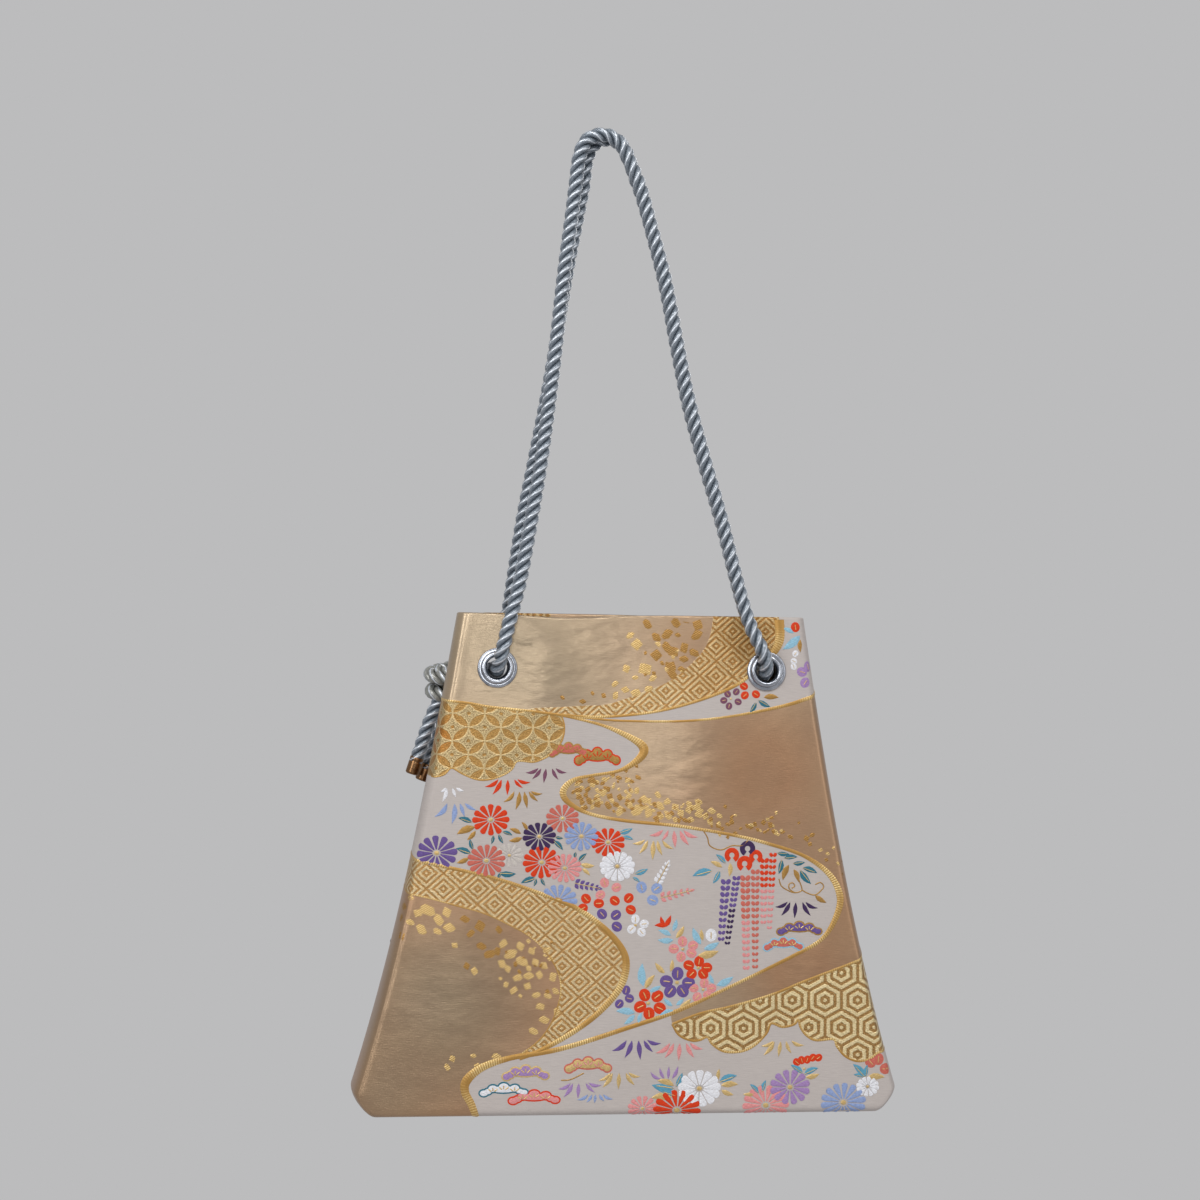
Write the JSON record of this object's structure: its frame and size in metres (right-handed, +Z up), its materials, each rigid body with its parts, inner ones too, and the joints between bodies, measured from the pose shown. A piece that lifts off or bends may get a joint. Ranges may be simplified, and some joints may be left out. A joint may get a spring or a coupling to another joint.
{
  "type": "kinchaku drawstring pouch",
  "caption": "Flat flared brocade pouch with a boxed base, hung by one twisted drawstring that runs through metal eyelets and ends in a knot with two tails.",
  "frame": {"origin": "the point under the top of the rope's loops that a hook bears on", "axes": "+X to the bag's right as seen from the front, +Y to its back, +Z up"},
  "size_m": [0.2914, 0.06, 0.5241],
  "materials": {
    "brocade": "gold silk brocade with a woven sheen",
    "lining": "plain matt cotton",
    "eyelet_metal": "polished nickel silver",
    "rope": "shiny rayon strands",
    "cap_metal": "polished bronze"
  },
  "bodies": {
    "root": {"brocade_front_panel": "brocade", "lining_front_panel": "lining", "eyelet_front_left": "eyelet_metal", "washer_front_left": "eyelet_metal", "eyelet_front_right": "eyelet_metal", "washer_front_right": "eyelet_metal", "brocade_back_panel": "brocade", "lining_back_panel": "lining", "eyelet_back_left": "eyelet_metal", "washer_back_left": "eyelet_metal", "eyelet_back_right": "eyelet_metal", "washer_back_right": "eyelet_metal", "drawstring": "rope", "stopper_knot": "rope", "tail_outer": "rope", "tail_inner": "rope", "tail_outer_cap": "cap_metal", "tail_inner_cap": "cap_metal"}
  },
  "joints": []
}
